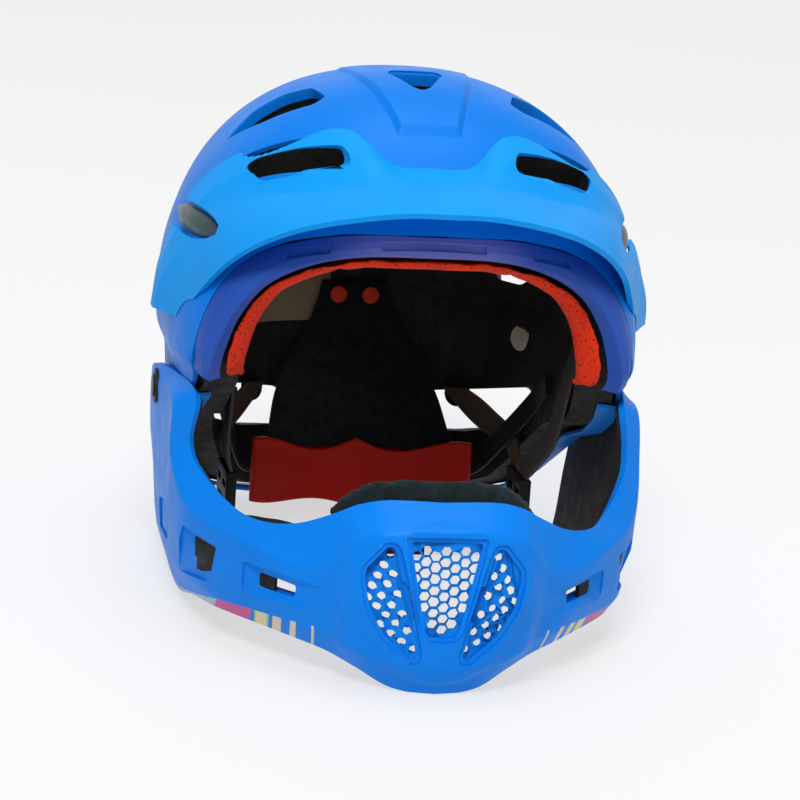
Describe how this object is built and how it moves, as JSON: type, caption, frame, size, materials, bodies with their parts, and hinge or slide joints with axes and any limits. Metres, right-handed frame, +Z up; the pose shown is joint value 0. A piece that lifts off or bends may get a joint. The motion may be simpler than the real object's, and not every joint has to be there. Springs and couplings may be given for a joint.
{
  "type": "full-face bicycle helmet",
  "caption": "Child's full-face bicycle helmet with a short visor, vented shell, removable chin guard with honeycomb grille, foam liner, dial-adjusted cradle and buckled chin straps.",
  "frame": {"origin": "centre of the helmet's bounding box in plan, on the floor it stands on", "axes": "+Z up, the face opening and visor point towards -Y, +X is the right of someone who looks at the face opening; it rests on the chin guard and the back of the neck trim"},
  "size_m": [0.22, 0.3017, 0.2262],
  "materials": {
    "shell_blue": "matte",
    "visor_blue": "matte",
    "trim_violet": "satin",
    "foam_black": "beaded, dull",
    "lens_grey": "glossy",
    "part_black": "fine grained",
    "latch_black": "satin",
    "pad_black": "felted",
    "pad_orange": "knitted",
    "cradle_red": "satin",
    "pin_orange": "glossy",
    "webbing": "woven"
  },
  "bodies": {
    "helmet": {"top_shell": "shell_blue", "foam_liner": "foam_black", "opening_trim": "trim_violet", "visor": "visor_blue", "visor_pins": "part_black", "side_trim_left": "lens_grey", "side_trim_right": "lens_grey", "neck_trim": "shell_blue", "brow_pad": "pad_orange", "crown_pad": "pad_orange", "cradle": "cradle_red", "hanger": "part_black", "hanger_pins": "pin_orange", "dial_housing": "cradle_red", "headband_left": "part_black", "headband_right": "part_black", "strap_anchors": "part_black", "front_strap_left": "webbing", "front_strap_right": "webbing", "rear_strap_left": "webbing", "rear_strap_right": "webbing", "divider_left": "part_black", "divider_right": "part_black", "chin_strap_left": "webbing", "chin_strap_right": "webbing", "strap_pad": "pad_black", "buckle_socket": "part_black"},
    "guard": {"chin_guard": "shell_blue", "chin_foam": "foam_black", "chin_pad": "pad_black", "grille_centre": "shell_blue", "grille_left": "shell_blue", "grille_right": "shell_blue", "latch_seat_left": "part_black", "latch_seat_right": "part_black"},
    "button_left": {"latch_button_left": "latch_black"},
    "button_right": {"latch_button_right": "latch_black"},
    "dial": {"dial": "part_black"},
    "band_left": {"band_left": "part_black"},
    "band_right": {"band_right": "part_black"},
    "buckle_plug": {"buckle_plug": "part_black"}
  },
  "joints": [
    {"name": "guard_pull", "type": "slide", "parent": "helmet", "child": "guard", "axis": [0, -1, 0], "range_m": [0, 0.12]},
    {"name": "button_left_press", "type": "slide", "parent": "guard", "child": "button_left", "axis": [1, 0, 0], "range_m": [0, 0.002], "stiffness_N_per_m": 600, "springref_m": -0.001},
    {"name": "button_right_press", "type": "slide", "parent": "guard", "child": "button_right", "axis": [-1, 0, 0], "range_m": [0, 0.002], "stiffness_N_per_m": 600, "springref_m": -0.001},
    {"name": "dial_turn", "type": "hinge", "parent": "helmet", "child": "dial", "pos_m": [0, 0.097, 0.02036], "axis": [0, 0.9968, -0.0802], "range_deg": [0, 131]},
    {"name": "band_left_slide", "type": "slide", "parent": "helmet", "child": "band_left", "axis": [1, 0, 0], "range_m": [0, 0.0081]},
    {"name": "band_right_slide", "type": "slide", "parent": "helmet", "child": "band_right", "axis": [-1, 0, 0], "range_m": [0, 0.0081]},
    {"name": "buckle_pull", "type": "slide", "parent": "helmet", "child": "buckle_plug", "axis": [1, 0, 0], "range_m": [0, 0.02], "deforming": ["chin_strap_right"]}
  ],
  "couplings": [
    {"joint": "band_left_slide", "follows": "dial_turn", "m_per_rad": 0.0035},
    {"joint": "band_right_slide", "follows": "dial_turn", "m_per_rad": 0.0035}
  ]
}
